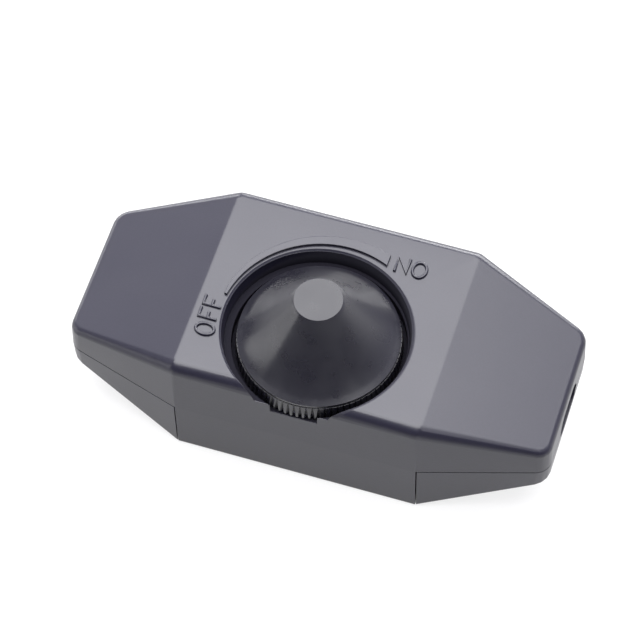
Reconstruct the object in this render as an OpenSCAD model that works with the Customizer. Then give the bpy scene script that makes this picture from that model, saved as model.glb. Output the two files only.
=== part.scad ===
// Inline rotary switch for a lamp cord: a two-part moulded case, tapered in plan and in height,
// with a knurled cone dial in a round well that breaks out through the front wall.
// Origin at the centre of the flat underside, X along the cord, Y to the back, Z up.

/* [Case] */
// Overall length, end to end
case_l = 85; // [82:0.5:95]
// Width across the two long flat sides
case_w = 38.3; // [38:0.1:44]
// Width across each end, at the parting line
end_w = 25.4; // [24:0.1:29]
// Length of the flat top and of the flat underside
mid_l = 42.5; // [42:0.1:45]
// Height of the case below the parting line, in the middle
lower_h = 12; // [11.5:0.1:15]
// Height of the case above the parting line, in the middle
upper_h = 12.5; // [12.2:0.1:15]
// Height of each end below the parting line
lower_end_h = 4; // [3.2:0.1:5]
// Height of each end above the parting line
upper_end_h = 5.1; // [4.2:0.1:6]
// Thickness of the moulded walls
wall = 2; // [1.6:0.1:2.2]
// Rounding along the edges of the flat top
top_round = 2.3; // [1.6:0.1:2.4]
// Rounding round each end of the top
end_round = 1.4; // [1:0.1:1.8]
// Rounding along the outline of the underside
base_round = 0.8; // [0.5:0.1:1.2]
// Plan radius of the corners at each end
end_corner_r = 3; // [3:0.1:5]
// Draft of the upright walls, on each side of the parting line
draft = 0.1; // [0.1:0.05:0.4]
// Gap between the two covers where they meet
seam_gap = 0.2; // [0.1:0.05:0.3]

/* [Well] */
// Distance of the dial axis in front of the middle of the case
axis_offset = 4.8; // [4.4:0.1:5.2]
// Radius of the well at the foot of its sloping wall
well_r = 15.6; // [15.5:0.05:15.8]
// How much wider the well is at the top of that wall
well_flare = 0.45; // [0.3:0.05:0.6]
// Distance of the well's own axis to the left of the dial axis
well_shift = 0.45; // [0:0.05:0.5]
// Chamfer round the mouth of the well
well_lip = 0.3; // [0.2:0.05:0.5]
// Depth of the ledge in the well, below the flat top
ledge_depth = 3.2; // [3:0.1:3.6]
// Thickness of the well's wall and floor
well_wall = 1.6; // [1.2:0.1:2]

/* [Dial] */
// Radius over the ridges of the knurled rim
dial_r = 14.2; // [14:0.05:14.3]
// Height of the knurled rim
rim_h = 3.2; // [3:0.1:3.4]
// Depth of the top of the rim, below the flat top of the case
rim_drop = 1.7; // [1.5:0.1:1.9]
// Number of ridges round the rim
ridge_count = 84; // [60:1:100]
// Depth of the grooves between the ridges
ridge_depth = 0.45; // [0.3:0.05:0.6]
// Height of the cone, from the top of the rim to the flat disc
cone_h = 11.7; // [10:0.1:13]
// Radius of the flat disc on top
disc_r = 4.1; // [4.1:0.05:5]
// Wall thickness of the dial moulding
dial_wall = 1.8; // [1.4:0.1:2.2]
// Gap round the rim inside the well
rim_gap = 0.65; // [0.5:0.05:0.7]
// Gap below the rim
floor_gap = 0.3; // [0.2:0.05:0.5]

/* [Dimmer control] */
// Radius of the control's shaft
shaft_r = 3; // [2.8:0.05:3.1]
// Radial clearance of the shaft in its bush and in the dial
shaft_fit = 0.05; // [0.02:0.01:0.08]
// Radius of the control's case
pot_r = 8.25; // [8:0.05:8.6]
// Outer radius of the threaded bush
bush_r = 4.2; // [4.1:0.05:4.5]
// Width of the bush nut across its flats
nut_af = 11; // [10:0.5:12]
// Thickness of the bush nut
nut_h = 1.8; // [1.4:0.1:2.2]

/* [Circuit board] */
// Thickness of the circuit board
board_t = 1.6; // [1:0.1:1.6]
// Distance from each end of the circuit board to the end face of the case
board_end_gap = 13; // [12.75:0.25:13.5]
// Height of the posts that carry the board above the inside floor
post_h = 6; // [5.5:0.1:6.2]

/* [Cord entries] */
// Width of the cord entry in each end
entry_w = 10; // [9:0.1:11]
// Height of the cord entry in each end
entry_h = 5.2; // [4.9:0.1:5.6]
// Distance of the cord clamps from the end faces
clamp_inset = 10.1; // [9.8:0.1:10.2]
// Width of each clamp bar, along the cord
clamp_w = 4; // [3.6:0.1:4.4]
// Thickness of each clamp bar
clamp_t = 1.5; // [1.2:0.1:1.6]

/* [Hidden] */
$fn = 96;

case_col = "#1d1d21";
dial_col = "#151518";

// How far the cuts run past the faces that they open
over = 1;
corner_fn = 24;
end_steps = 3;

// Levels
seam_z = lower_h;
top_z = lower_h + upper_h;
floor_z = wall;
ledge_z = top_z - ledge_depth;
rim_top_z = top_z - rim_drop;
rim_z = rim_top_z - rim_h;
well_floor_z = rim_z - floor_gap;
well_under_z = well_floor_z - well_wall;
board_z = floor_z + post_h;
board_top_z = board_z + board_t;
disc_z = rim_top_z + cone_h;
axis_y = -axis_offset;

// Slopes of the case
half_l = case_l / 2;
half_w = case_w / 2;
half_mid = mid_l / 2;
run = half_l - half_mid;
side_slope = (case_w - end_w) / 2 / run;
top_slope = (upper_h - upper_end_h) / run;
base_slope = (lower_h - lower_end_h) / run;
side_q = sqrt(1 + side_slope * side_slope);
side_turn = 90 - atan(side_slope);
side_bend = tan(atan(side_slope) / 2);

function side_y(x) = half_w - side_slope * max(0, abs(x) - half_mid);
function roof_z(x) = top_z - top_slope * max(0, abs(x) - half_mid);
function keel_z(x) = base_slope * max(0, abs(x) - half_mid);

// The four mirror images about X and Y
module four_ways() {
    for (mx = [0, 1], my = [0, 1])
        mirror([mx, 0, 0]) mirror([0, my, 0]) children();
}

module both_ends() {
    for (mx = [0, 1]) mirror([mx, 0, 0]) children();
}

// A ball whose facets reach its full radius along each axis
module edge_ball(ball) {
    sphere(ball / cos(180 / corner_fn), $fn = corner_fn);
}

// One row of balls that rounds the edge of the roof (up = 1) or of the keel (up = -1)
module edge_balls(inset, ball, end_ball, up) {
    off = inset + ball;
    end_off = inset + end_ball;
    slope = up > 0 ? top_slope : base_slope;
    lean = sqrt(1 + slope * slope);
    bend = tan(atan(slope) / 2);
    plane_z = up > 0 ? top_z : 0;
    corner = max(end_corner_r - inset, end_ball);
    mid_x = half_mid - off * bend;
    end_x = half_l - draft - inset - corner;
    end_y = side_y(end_x) - draft - (inset + corner) * side_q;
    translate([mid_x, half_w - draft - off, plane_z - up * off]) edge_ball(ball);
    for (i = [0 : end_steps]) {
        turn = side_turn * i / end_steps;
        x = end_x + (corner - end_ball) * cos(turn);
        y = end_y + (corner - end_ball) * sin(turn);
        z = plane_z - up * (slope * (x - half_mid) + end_off * lean);
        translate([x, y, z]) edge_ball(end_ball);
    }
}

// The ring at the parting line, where the case is widest
module seam_ring(inset, ball) {
    corner = max(end_corner_r - inset, ball);
    end_x = half_l - inset - corner;
    end_y = side_y(end_x) - (inset + corner) * side_q;
    band = seam_gap * 2;
    translate([half_mid - (inset + ball) * side_bend, half_w - inset - ball, seam_z - band / 2])
        cylinder(band, r = ball, $fn = corner_fn);
    translate([end_x, end_y, seam_z - band / 2]) cylinder(band, r = corner, $fn = corner_fn * 2);
}

// The form of the case, moved in by inset on every side
module case_form(inset, top_ball, end_ball, base_ball) {
    hull() {
        four_ways() {
            edge_balls(inset, top_ball, end_ball, 1);
            edge_balls(inset, base_ball, base_ball, -1);
            seam_ring(inset, base_ball);
        }
    }
}

module case_outside() {
    case_form(0, top_round, end_round, base_round);
}

inner_round = 0.5;
module case_inside() {
    case_form(wall, inner_round, inner_round, inner_round);
}

// A box from its two corners
module span(lo, hi) {
    translate(lo) cube([hi[0] - lo[0], hi[1] - lo[1], hi[2] - lo[2]]);
}

skirt_y = half_w - wall;

// Two side skirts of the upper cover, between the corner lines, down to the underside
module skirt_zone(grow) {
    for (my = [0, 1]) mirror([0, my, 0])
        span([-half_mid - grow, skirt_y - draft - grow, -over],
            [half_mid + grow, half_w + over, seam_z + seam_gap + grow]);
}

// The cord's way through both ends
entry_r = entry_h / 2;
entry_depth = wall * 2 + over;
module cord_way() {
    both_ends() translate([half_l - entry_depth, 0, seam_z]) rotate([0, 90, 0]) {
        for (sy = [-1, 1]) translate([0, sy * (entry_w / 2 - entry_r), 0])
            cylinder(entry_depth + over, r = entry_r);
        translate([-entry_r, -(entry_w / 2 - entry_r), 0])
            cube([entry_h, entry_w - entry_h, entry_depth + over]);
    }
}

// Cover screws, from below: one at the back left, one at the front right
screw_r = 1.2;
screw_fit = 0.05;
screw_hole_r = 1.5;
screw_head_r = 2.5;
screw_head_h = 1.6;
screw_sink = 2.4;
screw_sink_r = 2.9;
boss_r = 2.7;
boss_wall = 1;
screw_l = 12;
boss_edge = 0.5;
screw_x = half_mid - boss_r - boss_edge;
screw_y = skirt_y - boss_r - boss_edge;
screw_places = [[-screw_x, screw_y], [screw_x, -screw_y]];
screw_seat_z = screw_sink;
boss_split_z = screw_seat_z + wall;

module cover_bosses() {
    for (p = screw_places) translate([p[0], p[1], boss_split_z + seam_gap])
        cylinder(top_z - boss_split_z - seam_gap - wall / 2, r = boss_r);
}

// What stays solid inside the upper cover: the cup of the well and the two screw bosses
cup_r = well_r + well_flare + well_wall;
module upper_solids() {
    translate([-well_shift, axis_y, well_under_z]) cylinder(top_z - well_under_z, r = cup_r);
    cover_bosses();
}

module well_cut() {
    translate([-well_shift, axis_y, ledge_z]) cylinder(ledge_depth, r1 = well_r, r2 = well_r + well_flare);
    translate([-well_shift, axis_y, top_z - well_lip])
        cylinder(well_lip + over, r1 = well_r + well_flare, r2 = well_r + well_flare + well_lip + over);
    translate([0, axis_y, well_floor_z]) cylinder(ledge_depth, r = dial_r + rim_gap);
    translate([0, axis_y, well_under_z - over])
        cylinder(well_wall + over * 2, r = bush_r + shaft_fit);
}

module upper_cover() {
    color(case_col) difference() {
        intersection() {
            case_outside();
            union() {
                span([-half_l - over, -half_w - over, seam_z + seam_gap / 2],
                    [half_l + over, half_w + over, top_z + over]);
                skirt_zone(0);
                cover_bosses();
            }
        }
        difference() {
            case_inside();
            upper_solids();
        }
        well_cut();
        cord_way();
        for (p = screw_places) translate([p[0], p[1], boss_split_z - over])
            cylinder(screw_l, r = screw_r + screw_fit);
    }
}

// Cord clamps: a bar over the cord at each end, on two posts of the lower cover
clamp_x = half_l - clamp_inset;
clamp_post_r = 2.3;
clamp_post_gap = 0.3;
clamp_post_y = entry_w / 2 + clamp_post_gap + clamp_post_r;
clamp_z = seam_z + entry_h / 2 + clamp_post_gap;
clamp_screw_r = 1.1;
clamp_screw_l = 7;
clamp_head_r = 1.9;
clamp_head_h = 0.7;
clamp_end = 0.4;

// Posts that carry the circuit board
post_r = 2;
post_x = 17.6;
post_y = 11.4;
peg_r = 0.9;
peg_h = board_t + 0.6;

module lower_solids() {
    for (sx = [-1, 1], sy = [-1, 1])
        translate([sx * clamp_x, sy * clamp_post_y, 0]) cylinder(clamp_z, r = clamp_post_r);
    for (sx = [-1, 1]) {
        translate([sx * post_x, sx * post_y, 0]) cylinder(board_z, r = post_r);
        translate([sx * post_x, sx * post_y, 0]) cylinder(board_z + peg_h, r = peg_r);
    }
    for (p = screw_places) translate([p[0], p[1], 0]) cylinder(boss_split_z, r = screw_sink_r + boss_wall);
}

module lower_cover() {
    color(case_col) difference() {
        intersection() {
            case_outside();
            difference() {
                span([-half_l - over, -half_w - over, -over],
                    [half_l + over, half_w + over, clamp_z]);
                skirt_zone(seam_gap);
                difference() {
                    span([-half_l - over, -half_w - over, seam_z - seam_gap / 2],
                        [half_l + over, half_w + over, clamp_z + over]);
                    for (sx = [-1, 1], sy = [-1, 1])
                        translate([sx * clamp_x, sy * clamp_post_y, 0])
                            cylinder(clamp_z + over, r = clamp_post_r);
                }
            }
        }
        difference() {
            case_inside();
            lower_solids();
        }
        cord_way();
        for (p = screw_places) {
            translate([p[0], p[1], -over]) cylinder(screw_seat_z + over, r = screw_sink_r);
            translate([p[0], p[1], 0]) cylinder(boss_split_z + over, r = screw_hole_r);
        }
        for (sx = [-1, 1], sy = [-1, 1])
            translate([sx * clamp_x, sy * clamp_post_y, clamp_z - clamp_screw_l + clamp_t])
                cylinder(clamp_screw_l, r = clamp_screw_r + screw_fit);
    }
}

module cover_screws() {
    color("#9a9ca0") for (p = screw_places) translate([p[0], p[1], screw_seat_z]) {
        difference() {
            translate([0, 0, -screw_head_h]) cylinder(screw_head_h, r = screw_head_r);
            for (a = [0, 90]) rotate([0, 0, a])
                translate([-screw_head_r * 0.6, -screw_r / 4, -screw_head_h - over])
                    cube([screw_head_r * 1.2, screw_r / 2, over + screw_head_h / 2]);
        }
        cylinder(screw_l - screw_head_h - over, r = screw_r);
    }
}

module cord_clamps() {
    color("#26262a") both_ends() translate([clamp_x, 0, clamp_z]) difference() {
        union() {
            translate([-clamp_w / 2, -clamp_post_y, 0]) cube([clamp_w, clamp_post_y * 2, clamp_t]);
            for (sy = [-1, 1]) translate([0, sy * clamp_post_y, 0]) cylinder(clamp_t, r = clamp_w / 2);
        }
        for (sy = [-1, 1]) translate([0, sy * clamp_post_y, -over])
            cylinder(clamp_t + over * 2, r = clamp_screw_r + screw_fit);
    }
}

module clamp_screws() {
    color("#b4b6ba") for (sx = [-1, 1], sy = [-1, 1])
        translate([sx * clamp_x, sy * clamp_post_y, clamp_z + clamp_t]) {
            difference() {
                cylinder(clamp_head_h, r = clamp_head_r);
                translate([-clamp_head_r - over, -clamp_screw_r / 4, clamp_head_h / 2])
                    cube([(clamp_head_r + over) * 2, clamp_screw_r / 2, clamp_head_h]);
            }
            translate([0, 0, clamp_end - clamp_screw_l]) cylinder(clamp_screw_l, r = clamp_screw_r);
        }
}

// Dial: a hollow cone with a knurled rim and a hub with a flat for the shaft
rim_edge = 0.4;
ridge_fade = 0.06;
disc_edge = 0.3;
hub_r = 4.6;
hub_wall = 1.2;
cone_steps = 12;
cone_power_share = 1.22;
flat_share = 0.5;
root_r = dial_r - ridge_depth;
cone_r = dial_r - rim_edge;
core_r = root_r - ridge_depth / 2;
bush_top_z = well_floor_z + nut_h;
hub_z = bush_top_z + floor_gap * 2;
bore_top_z = disc_z - dial_wall * 2;
shaft_top_z = bore_top_z - floor_gap;
flat_x = shaft_r * flat_share;

cone_line = [for (i = [cone_steps : -1 : 0]) let (u = i / cone_steps)
    [cone_r + (disc_r + disc_edge - cone_r) * u,
     rim_top_z + rim_edge + (cone_h - rim_edge - disc_edge) * pow(u, cone_power_share)]];
inner_line = [for (i = [0 : cone_steps - 4]) let (p = cone_line[cone_steps - i])
    [p[0] - dial_wall / 2, p[1] - dial_wall]];
inner_last = inner_line[len(inner_line) - 1];

ridge_shares = [[0, 0], [0.3, 0.82], [0.5, 1], [0.7, 0.82]];
ridge_turn = 360 / ridge_count;
ridge_line = [for (i = [0 : ridge_count - 1], s = ridge_shares)
    let (a = (i + s[0]) * ridge_turn, r = root_r + ridge_depth * s[1]) [r * cos(a), r * sin(a)]];

module dial() {
    color(dial_col) translate([0, axis_y, 0]) {
        difference() {
            rotate_extrude() polygon(concat(
                [[0, bore_top_z], [0, disc_z], [disc_r, disc_z]],
                cone_line,
                [[cone_r, rim_top_z], [core_r, rim_top_z - rim_edge], [core_r, rim_z],
                 [root_r - dial_wall, rim_z]],
                inner_line,
                [[hub_r, inner_last[1]], [hub_r, hub_z], [shaft_r + shaft_fit, hub_z],
                 [shaft_r + shaft_fit, bore_top_z]]));
        }
        intersection() {
            translate([0, 0, hub_z]) cylinder(bore_top_z - hub_z, r = shaft_r + shaft_fit * 2);
            span([flat_x + shaft_fit, -hub_r, hub_z], [hub_r, hub_r, bore_top_z]);
        }
        intersection() {
            translate([0, 0, rim_z]) linear_extrude(rim_h - rim_edge / 2) difference() {
                polygon(ridge_line);
                circle(root_r - dial_wall / 2);
            }
            translate([0, 0, rim_z - over])
                cylinder(rim_h + over, r1 = dial_r + ridge_depth / 2, r2 = cone_r + ridge_fade);
        }
    }
}

// Control: case, base with its track, rotor, bush, nut and shaft
pot_wall = 0.8;
pot_base_h = 1.6;
pot_gap = 0.3;
pot_top_z = well_under_z;
rotor_h = 1.5;
rotor_r = pot_r - pot_wall - pot_gap * 2;
rotor_z = board_top_z + pot_base_h + pot_gap;
shaft_z = board_top_z + pot_base_h + pot_gap;

module dial_shaft() {
    color("#c9cacd") translate([0, axis_y, 0]) difference() {
        translate([0, 0, shaft_z]) cylinder(shaft_top_z - shaft_z, r = shaft_r);
        span([flat_x, -shaft_r - over, hub_z - floor_gap], [shaft_r + over, shaft_r + over, shaft_top_z + over]);
    }
}

module bush_nut() {
    color("#b9b9b4") translate([0, axis_y, well_floor_z]) difference() {
        cylinder(nut_h, r = nut_af / 2 / cos(30), $fn = 6);
        translate([0, 0, -over]) cylinder(nut_h + over * 2, r = bush_r + shaft_fit);
    }
}

module pot_bush() {
    color("#b99a4c") translate([0, axis_y, pot_top_z]) difference() {
        cylinder(bush_top_z - pot_top_z, r = bush_r);
        translate([0, 0, -over]) cylinder(bush_top_z - pot_top_z + over * 2, r = shaft_r + shaft_fit);
    }
}

module pot_case() {
    color("#8f9296") translate([0, axis_y, 0]) difference() {
        translate([0, 0, board_top_z + pot_base_h]) cylinder(pot_top_z - board_top_z - pot_base_h, r = pot_r);
        translate([0, 0, board_top_z])
            cylinder(pot_top_z - pot_wall - board_top_z, r = pot_r - pot_wall);
        translate([0, 0, pot_top_z - pot_wall - over])
            cylinder(pot_wall + over * 2, r = shaft_r + shaft_fit);
    }
}

module pot_base() {
    color("#6b4a2b") translate([0, axis_y, board_top_z]) cylinder(pot_base_h, r = pot_r);
}

module pot_rotor() {
    color("#e2dfd6") translate([0, axis_y, rotor_z]) difference() {
        cylinder(rotor_h, r = rotor_r);
        translate([0, 0, -over]) cylinder(rotor_h + over * 2, r = shaft_r + screw_fit);
    }
}

pin_w = 1.2;
pin_t = 0.5;
pin_pitch = 4;
pin_h = 1.4;
module pot_terminals() {
    color("#c8c4b4") for (i = [-1 : 1])
        translate([i * pin_pitch - pin_w / 2, axis_y + sqrt(pow(pot_r, 2) - pow(abs(i) * pin_pitch - pin_w / 2, 2)) + pot_gap,
            board_top_z]) cube([pin_w, pin_t, pin_h]);
}

// Circuit board, notched for the screw bosses and drilled for the two pegs
board_side_gap = 0.6;
board_notch_gap = 0.6;
board_half_l = half_l - board_end_gap;
board_half_w = skirt_y - draft - board_side_gap;
board_end_w = side_y(board_half_l) - wall * side_q - draft - board_side_gap;
board_line = [for (q = [[1, 1], [-1, -1]]) each [
    [q[0] * board_half_l, -q[1] * board_end_w], [q[0] * board_half_l, q[1] * board_end_w],
    [q[0] * (half_mid - board_side_gap), q[1] * board_half_w],
    [-q[0] * (half_mid - board_side_gap), q[1] * board_half_w]]];

module circuit_board() {
    color("#3f7a4a") difference() {
        translate([0, 0, board_z]) linear_extrude(board_t) polygon(board_line);
        for (p = screw_places) translate([p[0], p[1], board_z - over])
            cylinder(board_t + over * 2, r = boss_r + board_notch_gap);
        for (p = screw_places) {
            sx = sign(p[0]);
            sy = sign(p[1]);
            translate([min(p[0], sx * case_l), min(p[1], sy * case_w), board_z - over])
                cube([abs(p[0] - sx * case_l), abs(p[1] - sy * case_w), board_t + over * 2]);
        }
        for (sx = [-1, 1]) translate([sx * post_x, sx * post_y, board_z - over])
            cylinder(board_t + over * 2, r = peg_r + shaft_fit);
    }
}

// Terminal blocks: two poles at each end, with the wire holes towards the cord
block_l = 7;
block_w = 15;
block_h = 7.4;
block_edge = 0.6;
pole_y = 3.7;
wire_r = 1.5;
cage_w = 4.4;
cage_h = 5.2;
cage_r = 2;
cage_sink = 0.8;
wire_z = board_top_z + cage_sink + cage_h / 2;
block_x = board_half_l - block_l - block_edge;
term_screw_r = 1.3;
term_screw_l = 3;

module pole_places() {
    for (sx = [-1, 1], sy = [-1, 1]) translate([sx * (block_x + block_l / 2), sy * pole_y, 0]) children();
}

module terminal_blocks() {
    color("#d9d6c8") difference() {
        both_ends() span([block_x, -block_w / 2, board_top_z],
            [block_x + block_l, block_w / 2, board_top_z + block_h]);
        pole_places() {
            translate([-block_l / 2 + block_edge, -cage_w / 2, board_top_z + cage_sink])
                cube([block_l - block_edge * 2, cage_w, cage_h]);
            translate([-block_l, 0, wire_z]) rotate([0, 90, 0]) cylinder(block_l * 2, r = wire_r);
            translate([0, 0, wire_z]) cylinder(block_h, r = cage_r);
        }
    }
}

cage_fit = 0.05;
module terminal_clamps() {
    color("#c2a24e") pole_places() difference() {
        translate([-block_l / 2 + block_edge + cage_fit, -cage_w / 2 + cage_fit, board_top_z + cage_sink])
            cube([block_l - (block_edge + cage_fit) * 2, cage_w - cage_fit * 2, cage_h - cage_fit]);
        translate([-block_l, 0, wire_z]) rotate([0, 90, 0]) cylinder(block_l * 2, r = wire_r);
        translate([0, 0, wire_z]) cylinder(cage_h, r = term_screw_r + cage_fit);
    }
}

module terminal_screws() {
    color("#b0b2b6") pole_places() translate([0, 0, board_top_z + cage_sink + cage_h]) {
        difference() {
            cylinder(block_edge, r = cage_r - cage_fit);
            translate([-cage_r, -block_edge / 2, block_edge / 2]) cube([cage_r * 2, block_edge, block_edge]);
        }
        translate([0, 0, -term_screw_l + wire_r / 2]) cylinder(term_screw_l - wire_r / 2, r = term_screw_r);
    }
}

// Brass strap under the board that carries the neutral from one block to the other
link_w = 3;
link_t = 0.6;
link_end = 2;
module neutral_link() {
    color("#c2a24e") span([-block_x - link_end, -pole_y - link_w / 2, board_z - link_t],
        [block_x + link_end, -pole_y + link_w / 2, board_z]);
}

// Triac, flat against its heat sink at the back right
sink_t = 1.3;
sink_l = 10.8;
sink_h = 11;
sink_gap = 0.4;
sink_y = skirt_y - draft - sink_gap - sink_t;
sink_edge = 1.25;
sink_x = half_mid - sink_edge - sink_l;
tab_l = 10;
tab_t = 1.2;
tab_h = 4.4;
triac_t = 3.2;
triac_h = 5.8;
leg_h = 1.6;
leg_w = 0.8;
leg_pitch = 2.54;
triac_x = sink_x + (sink_l - tab_l) / 2;
triac_z = board_top_z + leg_h;
tab_hole_r = 1.6;
tab_hole_z = triac_z + triac_h + tab_h / 2;
tab_hole_x = triac_x + tab_l / 2;
tab_screw_r = 1.45;
tab_head_r = 2.1;
tab_head_h = 1.4;

module heat_sink() {
    color("#aeb2b6") difference() {
        span([sink_x, sink_y, board_top_z], [sink_x + sink_l, sink_y + sink_t, board_top_z + sink_h + leg_h]);
        translate([tab_hole_x, sink_y - over, tab_hole_z]) rotate([-90, 0, 0])
            cylinder(sink_t + over * 2, r = tab_screw_r + screw_fit);
    }
}

module triac_tab() {
    color("#b8bbc0") difference() {
        span([triac_x, sink_y - tab_t, triac_z], [triac_x + tab_l, sink_y, triac_z + triac_h + tab_h]);
        translate([tab_hole_x, sink_y - tab_t - over, tab_hole_z]) rotate([-90, 0, 0])
            cylinder(tab_t + over * 2, r = tab_hole_r);
    }
}

module triac_body() {
    color("#2a2a2e") span([triac_x, sink_y - tab_t - triac_t, triac_z],
        [triac_x + tab_l, sink_y - tab_t, triac_z + triac_h]);
}

module triac_legs() {
    color("#c9ccd0") for (i = [-1 : 1]) {
        x = tab_hole_x + i * leg_pitch;
        span([x - leg_w / 2, sink_y - tab_t - triac_t / 2, board_top_z],
            [x + leg_w / 2, sink_y - tab_t - triac_t / 2 + leg_w, triac_z]);
    }
}

module triac_screw() {
    color("#9fa2a6") translate([tab_hole_x, sink_y - tab_t, tab_hole_z]) rotate([-90, 0, 0]) {
        translate([0, 0, -tab_head_h]) cylinder(tab_head_h, r = tab_head_r);
        cylinder(tab_t + sink_t, r = tab_screw_r);
    }
}

// Film capacitor behind the control, and the small timing capacitor
film_l = 12.6;
film_t = 5;
film_h = 6.6;
film_gap = 1.2;
film_y = axis_y + pot_r + film_gap;
film_edge = 0.6;
module film_capacitor() {
    color("#b8442e") difference() {
        span([-film_l / 2, film_y, board_top_z], [film_l / 2, film_y + film_t, board_top_z + film_h]);
        translate([0, film_y, board_top_z + film_h]) rotate([45, 0, 0])
            cube([film_l + over, film_edge, film_edge], center = true);
        translate([0, film_y + film_t, board_top_z + film_h]) rotate([45, 0, 0])
            cube([film_l + over, film_edge, film_edge], center = true);
    }
}

timing_r = 3;
timing_t = 2.4;
timing_x = 15.2;
timing_y = -3.2;
module timing_capacitor() {
    color("#3a6ea8") translate([timing_x - timing_t / 2, timing_y, board_top_z + timing_r])
        rotate([0, 90, 0]) cylinder(timing_t, r = timing_r);
}

// Choke on a drum core, at the left
drum_r = 5.8;
drum_h = 6.4;
flange_h = 1;
drum_neck_r = 2.6;
coil_r = 5.1;
drum_gap = 0.9;
drum_x = drum_r + drum_gap - block_x;
drum_y = 4;
module choke_core() {
    color("#4a4a4e") translate([drum_x, drum_y, board_top_z]) {
        cylinder(flange_h, r = drum_r);
        cylinder(drum_h, r = drum_neck_r);
        translate([0, 0, drum_h - flange_h]) cylinder(flange_h, r = drum_r);
    }
}

module choke_winding() {
    color("#b4642c") translate([drum_x, drum_y, board_top_z + flange_h + cage_fit]) difference() {
        cylinder(drum_h - (flange_h + cage_fit) * 2, r = coil_r);
        translate([0, 0, -over]) cylinder(drum_h + over, r = drum_neck_r + cage_fit);
    }
}

// Resistors and diac, lying on the board
resistor_r = 1.2;
resistor_l = 6.4;
resistor_x = -16;
resistor_ys = [-4, -7.6, -11.2];
module resistors() {
    color("#c8a878") for (y = resistor_ys) translate([resistor_x, y, board_top_z + resistor_r]) {
        rotate([0, 90, 0]) cylinder(resistor_l, r = resistor_r);
    }
}

diac_r = 0.9;
diac_l = 3.8;
diac_x = 11.4;
diac_y = -9;
module diac() {
    color("#6aa0c8") translate([diac_x, diac_y, board_top_z + diac_r])
        rotate([0, 90, 0]) cylinder(diac_l, r = diac_r);
}

// Glass fuse in two clips, along the back
fuse_r = 2.5;
clip_w = 3;
clip_t = 0.5;
clip_h = 4.2;
fuse_cap_l = 5;
fuse_cap_t = 0.2;
fuse_boss_gap = 1.75;
fuse_sink_gap = 2.8;
fuse_x = boss_r + fuse_boss_gap - screw_x;
fuse_l = sink_x - fuse_sink_gap - fuse_x;
fuse_lift = 0.7;
fuse_z = board_top_z + fuse_r + fuse_cap_t + fuse_lift;
fuse_y = skirt_y - draft - board_side_gap - fuse_r - fuse_cap_t - clip_t;
module fuse_glass() {
    color("#c8d4d8") translate([fuse_x, fuse_y, fuse_z]) rotate([0, 90, 0])
        cylinder(fuse_l, r = fuse_r - cage_fit);
}

module fuse_caps() {
    color("#b9bcc0") for (x = [fuse_x - fuse_cap_t, fuse_x + fuse_l - fuse_cap_l + fuse_cap_t])
        translate([x, fuse_y, fuse_z]) rotate([0, 90, 0]) difference() {
            cylinder(fuse_cap_l, r = fuse_r + fuse_cap_t);
            translate([0, 0, x < fuse_x ? fuse_cap_t : -fuse_cap_t])
                cylinder(fuse_cap_l, r = fuse_r);
        }
}

module fuse_clips() {
    color("#c2a24e") for (x = [fuse_x + fuse_cap_t, fuse_x + fuse_l - clip_w - fuse_cap_t])
        translate([x, fuse_y, board_top_z]) difference() {
            translate([0, -fuse_r - fuse_cap_t - clip_t, 0])
                cube([clip_w, (fuse_r + fuse_cap_t + clip_t) * 2, clip_h]);
            translate([-over, 0, fuse_z - board_top_z]) rotate([0, 90, 0])
                cylinder(clip_w + over * 2, r = fuse_r + fuse_cap_t + cage_fit);
        }
}

upper_cover();
lower_cover();
dial();
dial_shaft();
bush_nut();
pot_bush();
pot_case();
pot_base();
pot_rotor();
pot_terminals();
circuit_board();
neutral_link();
triac_body();
triac_tab();
triac_legs();
heat_sink();
triac_screw();
film_capacitor();
timing_capacitor();
choke_core();
choke_winding();
resistors();
diac();
fuse_glass();
fuse_caps();
fuse_clips();
terminal_blocks();
terminal_clamps();
terminal_screws();
cord_clamps();
clamp_screws();
cover_screws();
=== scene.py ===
"""Looks of an inline rotary cord switch: finishes for its moulded case, knurled dial and inner
pieces, the raised marks on its flat top, and a pale studio round it."""
import math

import bmesh
import bpy
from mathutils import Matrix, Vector


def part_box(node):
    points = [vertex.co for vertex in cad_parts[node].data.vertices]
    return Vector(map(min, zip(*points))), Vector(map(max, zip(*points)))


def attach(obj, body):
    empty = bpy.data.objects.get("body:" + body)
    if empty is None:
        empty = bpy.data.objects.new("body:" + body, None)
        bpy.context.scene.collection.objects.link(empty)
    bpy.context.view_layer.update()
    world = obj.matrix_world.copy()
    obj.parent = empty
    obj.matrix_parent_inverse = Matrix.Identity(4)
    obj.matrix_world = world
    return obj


bl_info = {
    "name": "Inline Cord Switch",
    "version": (1, 0, 0),
    "blender": (4, 5, 0),
    "location": "3D View > Sidebar > Cord Switch",
    "description": "Finishes, raised marks and a studio for an inline rotary cord switch",
    "category": "Object",
}

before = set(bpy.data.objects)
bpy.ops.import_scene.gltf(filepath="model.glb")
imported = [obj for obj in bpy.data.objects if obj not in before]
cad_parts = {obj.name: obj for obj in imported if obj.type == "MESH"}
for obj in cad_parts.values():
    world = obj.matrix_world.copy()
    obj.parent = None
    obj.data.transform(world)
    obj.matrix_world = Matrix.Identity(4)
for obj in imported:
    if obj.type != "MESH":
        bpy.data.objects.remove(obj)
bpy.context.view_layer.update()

MM = 0.001
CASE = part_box("upper_cover")
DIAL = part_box("dial")
TOP_Z = CASE[1][2]
FRONT_Y = CASE[0][1]
AXIS_X = (DIAL[0][0] + DIAL[1][0]) / 2
AXIS_Y = (DIAL[0][1] + DIAL[1][1]) / 2

# The dial's well, which gets a rougher skin and, deep down, painted shade: whole within the
# first radius about the dial's axis and gone at the second, and never on the front face, which
# is this thick for it.
WELL_FADE = (16.0 * MM, 16.2 * MM)
FRONT_SKIN = 0.2 * MM
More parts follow.
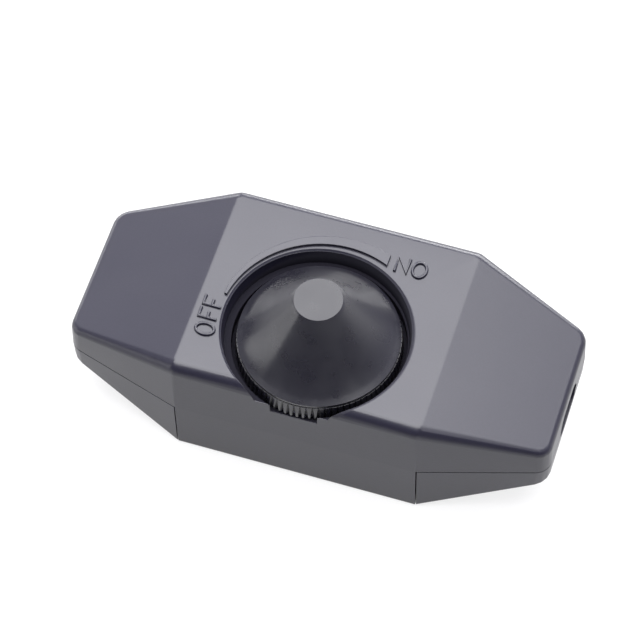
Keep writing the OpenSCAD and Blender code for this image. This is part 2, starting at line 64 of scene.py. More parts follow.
# Painted shade deep in the well: none at the first depth below the flat top, whole at the second.
WELL_SHADE_DEPTHS = (1.6 * MM, 3.1 * MM)
# Colour of the painted shade, which stands in for the shadow deep in the well.
WELL_SHADE_COLOUR = "#13121a"
WELL_ROUGHNESS = 0.75
# Specular level of the plain skin and of the painted shade, which dims the reflections there.
PLAIN_GLOSS, SHADED_WELL_GLOSS = 0.5, 0.1

BEVEL_SAMPLES = 6

# What the camera was fitted in: focal length and frame in the photograph's pixels.
FOCAL_PIXELS = 3174.6
FRAME_PIXELS = 640
SENSOR_MM = 36


def linear(hex_colour, alpha=1.0):
    """An sRGB hex colour as the linear values that the nodes take."""
    values = []
    for i in (0, 2, 4):
        c = int(hex_colour.lstrip("#")[i:i + 2], 16) / 255
        values.append(c / 12.92 if c <= 0.04045 else ((c + 0.055) / 1.055) ** 2.4)
    return (*values, alpha)


def add_node(tree, kind, inputs=None, **settings):
    """Adds one node: its settings, then its inputs, each a value or the output that feeds it."""
    node = tree.nodes.new(kind)
    for name, value in settings.items():
        setattr(node, name, value)
    for name, value in (inputs or {}).items():
        if isinstance(value, bpy.types.NodeSocket):
            tree.links.new(value, node.inputs[name])
        else:
            node.inputs[name].default_value = value
    return node


def new_material(name):
    """An empty node material and its node tree."""
    material = bpy.data.materials.new(name)
    material.use_nodes = True
    material.node_tree.nodes.clear()
    return material, material.node_tree


def per_metre(size_mm):
    """The noise scale, in Object coordinates, whose features are about size_mm across."""
    return 1000 / size_mm


# ---------------------------------------------------------------- materials

def well_and_shade_masks(tree, place):
    """How far a point of the case lies in the dial's well, and how far in its deep part, where
    shade is painted, each from 0 to 1."""
    offset = add_node(tree, "ShaderNodeVectorMath",
                      {0: place.outputs["Object"], 1: (AXIS_X, AXIS_Y, 0)}, operation="SUBTRACT")
    flat_offset = add_node(tree, "ShaderNodeVectorMath",
                           {0: offset.outputs["Vector"], 1: (1, 1, 0)}, operation="MULTIPLY")
    reach = add_node(tree, "ShaderNodeVectorMath",
                     {0: flat_offset.outputs["Vector"]}, operation="LENGTH")
    near = add_node(tree, "ShaderNodeMapRange",
                    {"Value": reach.outputs["Value"], "From Min": WELL_FADE[0],
                     "From Max": WELL_FADE[1], "To Min": 1.0, "To Max": 0.0})
    height = add_node(tree, "ShaderNodeSeparateXYZ", {"Vector": place.outputs["Object"]})
    inside = add_node(tree, "ShaderNodeMath",
                      {0: height.outputs["Y"], 1: FRONT_Y + FRONT_SKIN},
                      operation="GREATER_THAN")
    well = add_node(tree, "ShaderNodeMath",
                    {0: near.outputs["Result"], 1: inside.outputs["Value"]}, operation="MULTIPLY")
    # Painted shade: whole towards the well's floor, none near the flat top.
    deep = add_node(tree, "ShaderNodeMapRange",
                    {"Value": height.outputs["Z"], "From Min": TOP_Z - WELL_SHADE_DEPTHS[1],
                     "From Max": TOP_Z - WELL_SHADE_DEPTHS[0], "To Min": 1.0, "To Max": 0.0})
    shade = add_node(tree, "ShaderNodeMath",
                     {0: well.outputs["Value"], 1: deep.outputs["Result"]}, operation="MULTIPLY")
    return well.outputs["Value"], shade.outputs["Value"]


def moulded_abs(name, colour, roughness, grain_mm, grain_depth_mm, sheen_spread):
    """ABS from a spark-eroded mould. The eye sees a satin skin: a fine even grain that breaks up
    the highlight, very slight patches of more and less gloss, and a duller wall and ledge in the
    dial's well. Deep in the well, shade is painted on as a darker colour and a weaker reflection."""
    patch_mm = 9.0
    material, tree = new_material(name)
    place = add_node(tree, "ShaderNodeTexCoord")
    grain = add_node(tree, "ShaderNodeTexNoise",
                     {"Vector": place.outputs["Object"], "Scale": per_metre(grain_mm),
                      "Detail": 3.0, "Roughness": 0.6})
    patches = add_node(tree, "ShaderNodeTexNoise",
                       {"Vector": place.outputs["Object"], "Scale": per_metre(patch_mm),
                        "Detail": 2.0})
    sheen = add_node(tree, "ShaderNodeMapRange",
                     {"Value": patches.outputs["Fac"], "From Min": 0.3, "From Max": 0.7,
                      "To Min": roughness - sheen_spread, "To Max": roughness + sheen_spread})
    well, shade = well_and_shade_masks(tree, place)
    # Painted shade: the specular level is lowered deep in the well, so its reflections are dimmer.
    shaded_specular = add_node(tree, "ShaderNodeMapRange",
                     {"Value": shade, "To Min": PLAIN_GLOSS, "To Max": SHADED_WELL_GLOSS})
    dull = add_node(tree, "ShaderNodeMix",
                    {"Factor": well, "A": sheen.outputs["Result"], "B": WELL_ROUGHNESS},
                    data_type="FLOAT")
    tint = add_node(tree, "ShaderNodeMapRange",
                    {"Value": grain.outputs["Fac"], "From Min": 0.25, "From Max": 0.75,
                     "To Min": 0.85, "To Max": 1.15})
    base = add_node(tree, "ShaderNodeMix",
                    {"Factor": 1.0, "A": linear(colour), "B": tint.outputs["Result"]},
                    data_type="RGBA", blend_type="MULTIPLY")
    # Painted shade: deep in the well the colour is mixed towards near-black, for the shadow there.
    base = add_node(tree, "ShaderNodeMix",
                    {"Factor": shade, "A": base.outputs["Result"], "B": linear(WELL_SHADE_COLOUR)},
                    data_type="RGBA")
    edge = add_node(tree, "ShaderNodeBevel", {"Radius": 0.12 * MM}, samples=BEVEL_SAMPLES)
    bump = add_node(tree, "ShaderNodeBump",
                    {"Height": grain.outputs["Fac"], "Strength": 0.35,
                     "Distance": grain_depth_mm * MM, "Normal": edge.outputs["Normal"]})
    skin = add_node(tree, "ShaderNodeBsdfPrincipled",
                    {"Base Color": base.outputs["Result"], "Roughness": dull.outputs["Result"],
                     "IOR": 1.5, "Specular IOR Level": shaded_specular.outputs["Result"],
                     "Normal": bump.outputs["Normal"]})
    add_node(tree, "ShaderNodeOutputMaterial", {"Surface": skin.outputs["BSDF"]})
    return material


def polished_abs(name, colour, roughness):
    """ABS from a polished mould that was turned on a lathe. The eye sees a deep black whose very
    fine rings pull each reflection out into a streak from the disc down to the rim. The flat disc
    on top has no rings. The grain is drawn coarser than a polished skin's, so that it shows."""
    flow_mm, grain_mm, grain_depth_mm = 5.0, 0.5, 0.02
    disc_under_z = DIAL[1][2] - 0.1 * MM
    ring_pull, coat_weight, coat_roughness = 0.9, 0.5, 0.25
    up_the_cone = 0.25  # of a turn, from along the rings to across them
    material, tree = new_material(name)
    place = add_node(tree, "ShaderNodeTexCoord")
    flow = add_node(tree, "ShaderNodeTexNoise",
                    {"Vector": place.outputs["Object"], "Scale": per_metre(flow_mm), "Detail": 3.0})
    gloss = add_node(tree, "ShaderNodeMapRange",
                     {"Value": flow.outputs["Fac"], "From Min": 0.3, "From Max": 0.7,
                      "To Min": roughness * 0.85, "To Max": roughness * 1.15})
    grain = add_node(tree, "ShaderNodeTexNoise",
                     {"Vector": place.outputs["Object"], "Scale": per_metre(grain_mm),
                      "Detail": 2.0})
    edge = add_node(tree, "ShaderNodeBevel", {"Radius": 0.08 * MM}, samples=BEVEL_SAMPLES)
    bump = add_node(tree, "ShaderNodeBump",
                    {"Height": grain.outputs["Fac"], "Strength": 0.05,
                     "Distance": grain_depth_mm * MM, "Normal": edge.outputs["Normal"]})
    around = add_node(tree, "ShaderNodeTangent", direction_type="RADIAL", axis="Z")
    height = add_node(tree, "ShaderNodeSeparateXYZ", {"Vector": place.outputs["Object"]})
    turned = add_node(tree, "ShaderNodeMath",
                      {0: height.outputs["Z"], 1: disc_under_z}, operation="LESS_THAN")
    spread = add_node(tree, "ShaderNodeMath",
                      {0: turned.outputs["Value"], 1: ring_pull}, operation="MULTIPLY")
    coat = add_node(tree, "ShaderNodeMath",
                    {0: turned.outputs["Value"], 1: coat_weight}, operation="MULTIPLY")
    skin = add_node(tree, "ShaderNodeBsdfPrincipled",
                    {"Base Color": linear(colour), "Roughness": gloss.outputs["Result"],
                     "IOR": 1.47, "Normal": bump.outputs["Normal"],
                     "Coat Weight": coat.outputs["Value"], "Coat Roughness": coat_roughness,
                     "Coat Normal": bump.outputs["Normal"],
                     "Anisotropic": spread.outputs["Value"], "Anisotropic Rotation": up_the_cone,
                     "Tangent": around.outputs["Tangent"]})
    add_node(tree, "ShaderNodeOutputMaterial", {"Surface": skin.outputs["BSDF"]})
    return material


def drawn_metal(name, colour, roughness, line_mm, stretch):
    """Drawn, rolled or turned metal. The eye sees fine lines, stretch times as close along Y as
    they are along X and Z, that break up the highlight."""
    material, tree = new_material(name)
    place = add_node(tree, "ShaderNodeTexCoord")
    along = add_node(tree, "ShaderNodeMapping",
                     {"Vector": place.outputs["Object"], "Scale": (1.0, stretch, 1.0)})
    lines = add_node(tree, "ShaderNodeTexNoise",
                     {"Vector": along.outputs["Vector"], "Scale": per_metre(line_mm),
                      "Detail": 3.0})
    matt = add_node(tree, "ShaderNodeMapRange",
                    {"Value": lines.outputs["Fac"], "From Min": 0.3, "From Max": 0.7,
                     "To Min": roughness * 0.8, "To Max": roughness * 1.3})
    bump = add_node(tree, "ShaderNodeBump",
                    {"Height": lines.outputs["Fac"], "Strength": 0.2, "Distance": 0.02 * MM})
    skin = add_node(tree, "ShaderNodeBsdfPrincipled",
                    {"Base Color": linear(colour), "Metallic": 1.0,
                     "Roughness": matt.outputs["Result"], "Normal": bump.outputs["Normal"]})
    add_node(tree, "ShaderNodeOutputMaterial", {"Surface": skin.outputs["BSDF"]})
    return material


def coated_body(name, colour, speck, roughness, speck_mm, amount):
    """Dipped, pressed or fibre-filled bodies of the small electrical pieces. The eye sees one
    colour with a fine speck of another in it."""
    material, tree = new_material(name)
    place = add_node(tree, "ShaderNodeTexCoord")
    specks = add_node(tree, "ShaderNodeTexNoise",
                      {"Vector": place.outputs["Object"], "Scale": per_metre(speck_mm),
                       "Detail": 4.0})
    share = add_node(tree, "ShaderNodeMapRange",
                     {"Value": specks.outputs["Fac"], "From Min": 0.45, "From Max": 0.7,
                      "To Min": 0.0, "To Max": amount})
    base = add_node(tree, "ShaderNodeMix",
                    {"Factor": share.outputs["Result"], "A": linear(colour), "B": linear(speck)},
                    data_type="RGBA")
    bump = add_node(tree, "ShaderNodeBump",
                    {"Height": specks.outputs["Fac"], "Strength": 0.2, "Distance": 0.03 * MM})
    skin = add_node(tree, "ShaderNodeBsdfPrincipled",
                    {"Base Color": base.outputs["Result"], "Roughness": roughness, "IOR": 1.5,
                     "Normal": bump.outputs["Normal"]})
    add_node(tree, "ShaderNodeOutputMaterial", {"Surface": skin.outputs["BSDF"]})
    return material


def wound_wire(name, colour, wire_mm):
    """Enamelled copper wire, wound turn beside turn. The eye sees warm shiny ribs, drawn about six
    times as wide as the wire, so that they show: at scale 1 the wave node's bands come one
    twentieth of a full turn in radians apart."""
    wave_factor = 20
    material, tree = new_material(name)
    place = add_node(tree, "ShaderNodeTexCoord")
    turns = add_node(tree, "ShaderNodeTexWave",
                     {"Vector": place.outputs["Object"], "Scale": per_metre(wire_mm) / wave_factor,
                      "Distortion": 0.6, "Detail Scale": 2.0},
                     bands_direction="Z", wave_profile="SIN")
    bump = add_node(tree, "ShaderNodeBump",
                    {"Height": turns.outputs["Fac"], "Strength": 0.8, "Distance": 0.2 * MM})
    skin = add_node(tree, "ShaderNodeBsdfPrincipled",
                    {"Base Color": linear(colour), "Metallic": 1.0, "Roughness": 0.3,
                     "Coat Weight": 0.6, "Normal": bump.outputs["Normal"]})
    add_node(tree, "ShaderNodeOutputMaterial", {"Surface": skin.outputs["BSDF"]})
    return material


def drawn_glass(name, colour):
    """Glass tube. The eye sees a clear body with bright edges."""
    material, tree = new_material(name)
    place = add_node(tree, "ShaderNodeTexCoord")
    ripple = add_node(tree, "ShaderNodeTexNoise",
                      {"Vector": place.outputs["Object"], "Scale": per_metre(4.0), "Detail": 1.0})
    bump = add_node(tree, "ShaderNodeBump",
                    {"Height": ripple.outputs["Fac"], "Strength": 0.1, "Distance": 0.05 * MM})
    skin = add_node(tree, "ShaderNodeBsdfPrincipled",
                    {"Base Color": linear(colour), "Roughness": 0.05, "IOR": 1.5,
                     "Transmission Weight": 1.0, "Normal": bump.outputs["Normal"]})
    add_node(tree, "ShaderNodeOutputMaterial", {"Surface": skin.outputs["BSDF"]})
    return material


# ---------------------------------------------------------------- properties

class CaseFinishSettings(bpy.types.PropertyGroup):
    """Colour and skin of the two covers."""
    colour: bpy.props.StringProperty(
        name="Case Colour", description="sRGB hex colour of the case moulding", default="#1a1925")
    roughness: bpy.props.FloatProperty(
        name="Case Roughness", description="Roughness of the case's satin skin",
        default=0.32, min=0.05, max=1.0, subtype="FACTOR")
    grain: bpy.props.FloatProperty(
        name="Grain Size",
        description="Width of the mould's grain, in millimetres, drawn coarse enough to show",
        default=0.35, min=0.05, max=2.0)


class DialFinishSettings(bpy.types.PropertyGroup):
    """Colour and skin of the dial."""
    colour: bpy.props.StringProperty(
        name="Dial Colour", description="sRGB hex colour of the dial moulding", default="#0a0914")
    roughness: bpy.props.FloatProperty(
        name="Dial Roughness", description="Roughness of the dial's polished skin",
        default=0.29, min=0.02, max=1.0, subtype="FACTOR")


class MarkSettings(bpy.types.PropertyGroup):
    """Sizes of the raised marks on the flat top."""
    stroke: bpy.props.FloatProperty(
        name="Stroke", description="Width of the lettering's strokes",
        default=0.55 * MM, min=0.1 * MM, max=1.0 * MM, unit="LENGTH", precision=5)
    rise: bpy.props.FloatProperty(
        name="Rise", description="Height of the marks above the flat top",
        default=0.4 * MM, min=0.02 * MM, max=0.5 * MM, unit="LENGTH", precision=5)
    off_height: bpy.props.FloatProperty(
        name="OFF Height", description="Height of the letters OFF",
        default=3.18 * MM, min=1 * MM, max=6 * MM, unit="LENGTH", precision=5)
    on_height: bpy.props.FloatProperty(
        name="ON Height", description="Height of the letters ON",
        default=3.0 * MM, min=1 * MM, max=6 * MM, unit="LENGTH", precision=5)
    wedge_inner: bpy.props.FloatProperty(
        name="Wedge Inner Radius",
        description="Inner radius of the wedge mark, about the dial's axis",
        default=17.1 * MM, min=16.6 * MM, max=19 * MM, unit="LENGTH", precision=5)
    wedge_thin: bpy.props.FloatProperty(
        name="Wedge Thin End", description="Width of the wedge mark at its OFF end",
        default=0.5 * MM, min=0.2 * MM, max=3 * MM, unit="LENGTH", precision=5)
    wedge_thick: bpy.props.FloatProperty(
        name="Wedge Thick End", description="Width of the wedge mark at its ON end",
        default=2.05 * MM, min=0.5 * MM, max=4 * MM, unit="LENGTH", precision=5)
    wedge_rise: bpy.props.FloatProperty(
        name="Wedge Rise", description="Height of the wedge mark above the flat top",
        default=0.5 * MM, min=0.1 * MM, max=1 * MM, unit="LENGTH", precision=5)
    wedge_from: bpy.props.FloatProperty(
        name="Wedge Start", description="Angle of the thin end, from +X towards +Y",
        default=math.radians(172.5), subtype="ANGLE")
    wedge_to: bpy.props.FloatProperty(
        name="Wedge End", description="Angle of the thick end, from +X towards +Y",
        default=math.radians(68), subtype="ANGLE")


class StudioSettings(bpy.types.PropertyGroup):
    """Camera and lights."""
    azimuth: bpy.props.FloatProperty(
        name="Camera Azimuth", description="Turn of the camera from the front towards +X",
        default=math.radians(18.659), subtype="ANGLE")
    elevation: bpy.props.FloatProperty(
        name="Camera Elevation", description="Height of the camera above the horizon, as an angle",
        default=math.radians(58.316), subtype="ANGLE")
    roll: bpy.props.FloatProperty(
        name="Camera Roll", description="Turn of the camera about its own axis",
        default=math.radians(-1.312), subtype="ANGLE")
    distance: bpy.props.FloatProperty(
        name="Camera Distance",
        description="Distance from the camera to the point that it looks at",
        default=546.13 * MM, min=0.05, unit="LENGTH")
    lens: bpy.props.FloatProperty(
        name="Lens", description="Focal length for a 36 mm sensor",
        default=FOCAL_PIXELS * SENSOR_MM / FRAME_PIXELS, min=20)
    target: bpy.props.FloatVectorProperty(
        name="Target", description="The point that the camera looks at", size=3,
        default=(-2.994 * MM, 4.669 * MM, 12 * MM), subtype="XYZ", unit="LENGTH")
    key_level: bpy.props.FloatProperty(
        name="Softbox Level", description="Radiance of the large softbox above the object",
        default=6.5, min=0)
    left_level: bpy.props.FloatProperty(
        name="Left Strip Level", description="Radiance of the low strip light on the left",
        default=3.0, min=0)
    rim_level: bpy.props.FloatProperty(
        name="Rim Strip Level",
        description="Radiance of the two small low strips behind the object",
        default=14.0, min=0)
    front_level: bpy.props.FloatProperty(
        name="Front Level",
        description="Radiance of the dim room in front, where the camera stands",
        default=0.18, min=0)
    back_level: bpy.props.FloatProperty(
        name="Backdrop Level", description="Radiance of the white backdrop behind the object",
        default=1.35, min=0)


# ---------------------------------------------------------------- shared steps

def settings(name):
    """One of the property groups kept on the scene."""
    return getattr(bpy.context.scene, name)


def node_object(name):
    """The Blender object of a CAD node."""
    found = bpy.data.objects.get(name)
    if found is None:
        raise RuntimeError("no CAD node named " + name)
    return found


def smooth_mesh(found, split_angle):
    """Joins the facets' doubled points, keeps true edges sharp and shades flat faces flat. These
    are modifiers: the CAD mesh itself stays as it is."""
    found.data.polygons.foreach_set("use_smooth", [True] * len(found.data.polygons))
    weld = found.modifiers.new("join_points", "WELD")
    weld.merge_threshold = 0.002 * MM
    split = found.modifiers.new("sharp_edges", "EDGE_SPLIT")
    split.split_angle = math.radians(split_angle)
    flat = found.modifiers.new("flat_faces", "WEIGHTED_NORMAL")
    flat.weight = 80
    flat.keep_sharp = True


def dress(names, material, split_angle=28):
    """Gives CAD nodes a material and clean shading."""
    for name in names:
        found = node_object(name)
        found.data.materials.clear()
        found.data.materials.append(material)
        smooth_mesh(found, split_angle)


def stroke_curve(name, strokes, radius, lift):
    """Raised line marks: each stroke says whether it is closed and lists its (x, y) points. It is
    drawn as a round bead whose middle lies lift above the flat top and whose underside is in it."""
    data = bpy.data.curves.new(name, "CURVE")
    data.dimensions = "3D"
    data.bevel_depth = 1.0  # each point's radius gives the bead's size, which keeps the bounds true
    data.bevel_resolution = 3
    data.use_fill_caps = True
    for closed, points in strokes:
        spline = data.splines.new("POLY")
        spline.points.add(len(points) - 1)
        for point, (x, y) in zip(spline.points, points):
            point.co = (x, y, TOP_Z + lift, 1)
            point.radius = radius
        spline.use_cyclic_u = closed
        spline.use_smooth = True
    found = bpy.data.objects.new(name, data)
    bpy.context.scene.collection.objects.link(found)
    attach(found, "case")
    return found


def oval(cx, cy, rx, ry, count=40):
    """A closed oval stroke."""
    turns = [2 * math.pi * i / count for i in range(count)]
    return (True, [(cx + rx * math.cos(turn), cy + ry * math.sin(turn)) for turn in turns])


def about_axis(radius, turn):
    """The place in plan at a radius and an angle about the dial's axis."""
    return AXIS_X + radius * math.cos(turn), AXIS_Y + radius * math.sin(turn)


# ---------------------------------------------------------------- operators

class CORDSWITCH_OT_case(bpy.types.Operator):
    """Finish the two covers of the case"""
    bl_idname = "cordswitch.case"
    bl_label = "Finish Case"

    def execute(self, context):
        look = settings("cordswitch_case")
        skin = moulded_abs("black_abs_satin_moulded", look.colour, look.roughness, look.grain,
                           grain_depth_mm=0.03, sheen_spread=0.012)
        dress(("upper_cover", "lower_cover"), skin)
        return {"FINISHED"}


class CORDSWITCH_OT_dial(bpy.types.Operator):
    """Finish the knurled cone dial"""
    bl_idname = "cordswitch.dial"
    bl_label = "Finish Dial"

    def execute(self, context):
        look = settings("cordswitch_dial")
        skin = polished_abs("black_abs_polished_moulded", look.colour, look.roughness)
        dress(("dial",), skin, split_angle=25)
        return {"FINISHED"}


class CORDSWITCH_OT_marks(bpy.types.Operator):
    """Raise the ON and OFF lettering and the wedge mark on the flat top"""
    bl_idname = "cordswitch.marks"
    bl_label = "Raise Marks"

    def execute(self, context):
        size = settings("cordswitch_marks")
        skin = moulded_abs("black_abs_raised_marks", settings("cordswitch_case").colour,
                           roughness=0.3, grain_mm=0.3, grain_depth_mm=0.02, sheen_spread=0.02)
        radius = size.stroke / 2
        lift = size.rise - radius
        # ON, which reads from the back: N, then O to its right as seen from the front
        n_left, n_right, n_low = 8.55 * MM, 10.6 * MM, 10.24 * MM
        n_high = n_low + size.on_height
        letter_n = (False, [(n_left, n_low), (n_left, n_high), (n_right, n_low), (n_right, n_high)])
        letter_o = oval(12.61 * MM, 11.65 * MM, 1.2 * MM, size.on_height / 2)
        # OFF, which reads from the right, along +Y: its letters' feet face +X and their tops -X
        feet_x = -17.1 * MM
        tops_x = feet_x - size.off_height
        o_middle_x = feet_x - size.off_height * 0.41
        f_middle_x = feet_x - size.off_height * 0.51
        f_stems_y = (-7.85 * MM, -5.35 * MM)
        f_top_arm, f_middle_arm = 1.8 * MM, 1.2 * MM
        letters = [oval(o_middle_x, -10.0 * MM, size.off_height / 2, 1.09 * MM)]
        for y in f_stems_y:
            letters.append((False, [(feet_x, y), (tops_x, y), (tops_x, y + f_top_arm)]))
            letters.append((False, [(f_middle_x, y), (f_middle_x, y + f_middle_arm)]))
        for name, strokes in (("lettering_on", [letter_n, letter_o]), ("lettering_off", letters)):
            stroke_curve(name, strokes, radius, lift).data.materials.append(skin)
        self.wedge(size, skin)
        return {"FINISHED"}

    def wedge(self, size, skin):
        """A raised plate round the well that grows from OFF to ON, with a small chamfer on top."""
        steps = 72
        growth = 0.72                  # power of the width's growth: fast at first
        end_skew = math.radians(2.6)   # the inner edge stops this far short at the thick end
        sunk = 0.05 * MM
        # inset of the outline and height above the flat top, from the foot up
        profile = ((0, -sunk), (0, size.wedge_rise - 0.08 * MM),
                   (0.03 * MM, size.wedge_rise - 0.02 * MM), (0.08 * MM, size.wedge_rise))
        inner, outer = [], []
        for i in range(steps + 1):
            t = i / steps
            a = size.wedge_from + (size.wedge_to - size.wedge_from) * t
            wide = size.wedge_thin + (size.wedge_thick - size.wedge_thin) * t ** growth
            inner.append(about_axis(size.wedge_inner, a - end_skew * t))
            outer.append(about_axis(size.wedge_inner + wide, a))
        count = steps + 1
        end_sides = {0: -1, steps: 1}  # which way each end's points move along the arc
        mesh = bmesh.new()
        rings = []
        for inset, above in profile:
            ring = []
            for line, side in ((inner, 1), (outer, -1)):
                for k, (x, y) in enumerate(line):
                    r = math.hypot(x - AXIS_X, y - AXIS_Y) + side * inset
                    turn = math.atan2(y - AXIS_Y, x - AXIS_X)
                    turn += (inset / r) * end_sides.get(k, 0)
                    ring.append(mesh.verts.new((*about_axis(r, turn), TOP_Z + above)))
            rings.append(ring)
        order = list(range(count)) + list(range(2 * count - 1, count - 1, -1))
        for low, high in zip(rings, rings[1:]):
            for a, b in zip(order, order[1:] + order[:1]):
                mesh.faces.new((low[a], low[b], high[b], high[a]))
        for ring in (rings[0], rings[-1]):
            for k in range(count - 1):
                mesh.faces.new((ring[k], ring[k + 1], ring[count + k + 1], ring[count + k]))
        bmesh.ops.recalc_face_normals(mesh, faces=mesh.faces)
        data = bpy.data.meshes.new("wedge_mark")
        mesh.to_mesh(data)
        mesh.free()
        data.materials.append(skin)
        found = bpy.data.objects.new("wedge_mark", data)
        bpy.context.scene.collection.objects.link(found)
        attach(found, "case")


class CORDSWITCH_OT_control(bpy.types.Operator):
    """Finish the control under the dial: shaft, bush, nut, case, rotor and base"""
    bl_idname = "cordswitch.control"
    bl_label = "Finish Control"

    def execute(self, context):
        dress(("dial_shaft",),
              drawn_metal("aluminium_turned", "#c9cacd",
                          roughness=0.3, line_mm=0.2, stretch=1.0))
        dress(("bush_nut", "pot_case"),
              drawn_metal("steel_zinc_plated", "#b9bab8",
                          roughness=0.32, line_mm=0.4, stretch=3.0))
        dress(("pot_bush",),
              drawn_metal("brass_turned", "#c7a557",
                          roughness=0.28, line_mm=0.2, stretch=1.0))
        dress(("pot_base",),
              coated_body("phenolic_paper_pressed", "#6b4a2b", "#8a6a44",
                          roughness=0.5, speck_mm=0.4, amount=0.5))
        dress(("pot_rotor",),
              coated_body("nylon_moulded_white", "#dcd8cc", "#c9c4b4",
                          roughness=0.45, speck_mm=1.5, amount=0.3))
        dress(("pot_terminals",),
              drawn_metal("brass_tinned", "#c9c8c2",
                          roughness=0.35, line_mm=0.3, stretch=4.0))
        return {"FINISHED"}


class CORDSWITCH_OT_board(bpy.types.Operator):
    """Finish the circuit board and what stands on it"""
    bl_idname = "cordswitch.board"
    bl_label = "Finish Board"

    def execute(self, context):
        dress(("circuit_board",),
              coated_body("glass_epoxy_board_green", "#2f6b41", "#3f8552",
                          roughness=0.4, speck_mm=1.2, amount=0.6))
        dress(("neutral_link", "fuse_clips", "terminal_clamps"),
              drawn_metal("brass_rolled", "#c4a354",
                          roughness=0.3, line_mm=0.3, stretch=6.0))
        dress(("triac_body",),
              coated_body("epoxy_moulded_black", "#26262a", "#3a3a3e",
                          roughness=0.45, speck_mm=0.5, amount=0.5))
        dress(("triac_tab", "triac_legs"),
              drawn_metal("copper_tinned", "#c2c3c4",
                          roughness=0.3, line_mm=0.3, stretch=4.0))
        dress(("heat_sink",),
              drawn_metal("aluminium_rolled", "#c6c8ca",
                          roughness=0.35, line_mm=0.3, stretch=8.0))
        dress(("triac_screw", "terminal_screws", "clamp_screws", "cover_screws", "fuse_caps"),
              drawn_metal("steel_nickel_plated", "#bcbcb6",
                          roughness=0.25, line_mm=0.25, stretch=1.0))
        dress(("film_capacitor",),
              coated_body("epoxy_dipped_red", "#a83a28", "#c05a44",
                          roughness=0.3, speck_mm=2.0, amount=0.4))
        dress(("timing_capacitor", "diac"),
              coated_body("lacquer_dipped_blue", "#32659c", "#4c80b4",
                          roughness=0.28, speck_mm=1.5, amount=0.4))
        dress(("resistors",),
              coated_body("lacquer_dipped_tan", "#c4a470", "#a98a58",
                          roughness=0.4, speck_mm=1.0, amount=0.4))
        dress(("choke_core",),
              coated_body("ferrite_sintered", "#3c3c40", "#56565a",
                          roughness=0.6, speck_mm=0.4, amount=0.6))
        dress(("choke_winding",), wound_wire("copper_wire_enamelled", "#b5622c", wire_mm=0.5))
        dress(("fuse_glass",), drawn_glass("soda_glass_drawn", "#e4ecec"))
        dress(("terminal_blocks",),
              coated_body("nylon_moulded_cream", "#d8d4c4", "#c4bfae",
                          roughness=0.42, speck_mm=1.5, amount=0.3))
        dress(("cord_clamps",),
              coated_body("nylon_moulded_black", "#222226", "#303036",
                          roughness=0.4, speck_mm=0.8, amount=0.4))
        return {"FINISHED"}


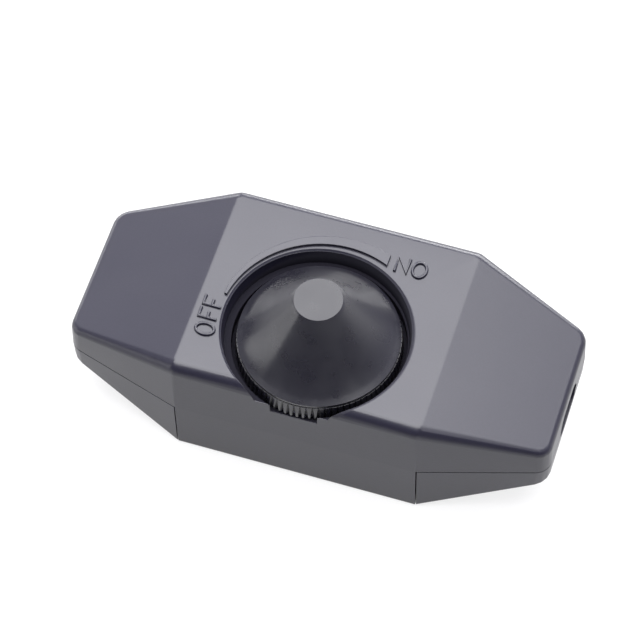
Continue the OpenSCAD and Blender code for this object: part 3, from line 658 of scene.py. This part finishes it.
class CORDSWITCH_OT_stage(bpy.types.Operator):
    """Set up the pale floor, the softboxes, the room and the camera"""
    bl_idname = "cordswitch.stage"
    bl_label = "Set Up Studio"

    def execute(self, context):
        studio = settings("cordswitch_studio")
        scene = context.scene
        scene.view_settings.view_transform = "Standard"
        self.floor()
        over = (-0.05, 0.26)     # a little behind the object, so that the cone's back takes it
        dial = (0, 0, 0.03)
        # name, place, the point that it faces, width and height, level; places in metres
        for softbox in (
                ("softbox_top", (*over, 0.9), (*over, 0), (1.3, 1.12), studio.key_level),
                ("strip_left", (-1.16, -0.3, 0.16), dial, (0.9, 0.3), studio.left_level),
                ("strip_back_left", (-0.96, 0.86, 0.17), dial, (0.7, 0.2), studio.rim_level),
                ("strip_back_right", (0.1, 1.3, 0.24), dial, (0.8, 0.38), studio.rim_level)):
            self.softbox(*softbox)
        self.room(studio.front_level, studio.back_level)
        self.camera(studio)
        return {"FINISHED"}

    def floor(self):
        """A wide pale floor. To the camera and to the object's gloss it is mostly plain white, and
        the rest is lit, which keeps the object's shadow."""
        reach = 3.0         # metres each way from the object
        plain_share = 0.8
        data = bpy.data.meshes.new("studio_floor")
        corners = [(x * reach, y * reach, 0) for x, y in ((-1, -1), (1, -1), (1, 1), (-1, 1))]
        data.from_pydata(corners, [], [(0, 1, 2, 3)])
        found = bpy.data.objects.new("studio_floor", data)
        bpy.context.scene.collection.objects.link(found)
        material, tree = new_material("paper_backdrop_white")
        lit = add_node(tree, "ShaderNodeBsdfDiffuse", {"Color": linear("#f2f2f2")})
        plain = add_node(tree, "ShaderNodeEmission", {"Color": linear("#ffffff"), "Strength": 1.0})
        path = add_node(tree, "ShaderNodeLightPath")
        seen = add_node(tree, "ShaderNodeMath",
                        {0: path.outputs["Is Camera Ray"], 1: path.outputs["Is Glossy Ray"]},
                        operation="ADD", use_clamp=True)
        seen = add_node(tree, "ShaderNodeMath",
                        {0: seen.outputs["Value"], 1: path.outputs["Is Transmission Ray"]},
                        operation="ADD", use_clamp=True)
        share = add_node(tree, "ShaderNodeMath",
                         {0: seen.outputs["Value"], 1: plain_share}, operation="MULTIPLY")
        both = add_node(tree, "ShaderNodeMixShader",
                        {"Fac": share.outputs["Value"], 1: lit.outputs["BSDF"],
                         2: plain.outputs["Emission"]})
        add_node(tree, "ShaderNodeOutputMaterial", {"Surface": both.outputs["Shader"]})
        data.materials.append(material)

    def softbox(self, name, place, aim, size, radiance):
        """A rectangular softbox that faces a point, whose power gives the stated radiance."""
        data = bpy.data.lights.new(name, "AREA")
        data.shape = "RECTANGLE"
        data.size, data.size_y = size
        data.energy = radiance * math.pi * size[0] * size[1]
        found = bpy.data.objects.new(name, data)
        found.location = place
        found.rotation_euler = (Vector(aim) - Vector(place)).to_track_quat("-Z", "Y").to_euler()
        found.visible_camera = False
        bpy.context.scene.collection.objects.link(found)

    def room(self, front, back):
        """White where the camera looks. Light and reflections come from a slightly blue room that
        is dim in front and below and passes softly into a bright backdrop behind and above."""
        backdrop_way = (0, 0.7, 0.7)         # back and up
        fade_from, fade_to = 0.05, 0.73      # how far a direction points that way
        world = bpy.data.worlds.new("studio_room")
        world.use_nodes = True
        tree = world.node_tree
        tree.nodes.clear()
        path = add_node(tree, "ShaderNodeLightPath")
        way = add_node(tree, "ShaderNodeTexCoord")
        depth = add_node(tree, "ShaderNodeVectorMath",
                         {0: way.outputs["Generated"], 1: backdrop_way}, operation="DOT_PRODUCT")
        level = add_node(tree, "ShaderNodeMapRange",
                         {"Value": depth.outputs["Value"], "From Min": fade_from,
                          "From Max": fade_to, "To Min": front, "To Max": back})
        room = add_node(tree, "ShaderNodeBackground",
                        {"Color": linear("#efefff"), "Strength": level.outputs["Result"]})
        white = add_node(tree, "ShaderNodeBackground",
                         {"Color": linear("#ffffff"), "Strength": 1.0})
        both = add_node(tree, "ShaderNodeMixShader",
                        {"Fac": path.outputs["Is Camera Ray"], 1: room.outputs["Background"],
                         2: white.outputs["Background"]})
        add_node(tree, "ShaderNodeOutputWorld", {"Surface": both.outputs["Shader"]})
        bpy.context.scene.world = world

    def camera(self, studio):
        """The camera, at the photograph's angle and distance."""
        az, el = studio.azimuth, studio.elevation
        back = Vector((math.sin(az) * math.cos(el), -math.cos(az) * math.cos(el), math.sin(el)))
        data = bpy.data.cameras.new("camera")
        data.lens = studio.lens
        data.clip_start = 0.01  # metres
        found = bpy.data.objects.new("camera", data)
        found.rotation_euler = back.to_track_quat("Z", "Y").to_euler()
        found.rotation_euler.rotate_axis("Z", studio.roll)
        found.location = Vector(studio.target) + back * studio.distance
        bpy.context.scene.collection.objects.link(found)
        bpy.context.scene.camera = found


class CORDSWITCH_PT_panel(bpy.types.Panel):
    """The switch's sizes, colours and steps"""
    bl_label = "Cord Switch"
    bl_idname = "CORDSWITCH_PT_panel"
    bl_space_type = "VIEW_3D"
    bl_region_type = "UI"
    bl_category = "Cord Switch"

    def draw(self, context):
        for name, operators in GROUPS:
            box = self.layout.box()
            group = getattr(context.scene, name)
            for key in group.bl_rna.properties.keys():
                if key not in {"rna_type", "name"}:
                    box.prop(group, key)
            for operator in operators:
                box.operator(operator.bl_idname)


GROUPS = (
    ("cordswitch_case", (CORDSWITCH_OT_case, CORDSWITCH_OT_control, CORDSWITCH_OT_board)),
    ("cordswitch_dial", (CORDSWITCH_OT_dial,)),
    ("cordswitch_marks", (CORDSWITCH_OT_marks,)),
    ("cordswitch_studio", (CORDSWITCH_OT_stage,)),
)
SETTINGS = {
    "cordswitch_case": CaseFinishSettings,
    "cordswitch_dial": DialFinishSettings,
    "cordswitch_marks": MarkSettings,
    "cordswitch_studio": StudioSettings,
}
CLASSES = (*SETTINGS.values(), CORDSWITCH_OT_case, CORDSWITCH_OT_dial, CORDSWITCH_OT_marks,
           CORDSWITCH_OT_control, CORDSWITCH_OT_board, CORDSWITCH_OT_stage, CORDSWITCH_PT_panel)


def register():
    for item in CLASSES:
        bpy.utils.register_class(item)
    for name, group in SETTINGS.items():
        setattr(bpy.types.Scene, name, bpy.props.PointerProperty(type=group))


def unregister():
    for name in SETTINGS:
        delattr(bpy.types.Scene, name)
    for item in reversed(CLASSES):
        bpy.utils.unregister_class(item)


def main():
    register()
    bpy.ops.cordswitch.stage()
    bpy.ops.cordswitch.case()
    bpy.ops.cordswitch.dial()
    bpy.ops.cordswitch.marks()
    bpy.ops.cordswitch.control()
    bpy.ops.cordswitch.board()


if __name__ == "__main__":
    main()
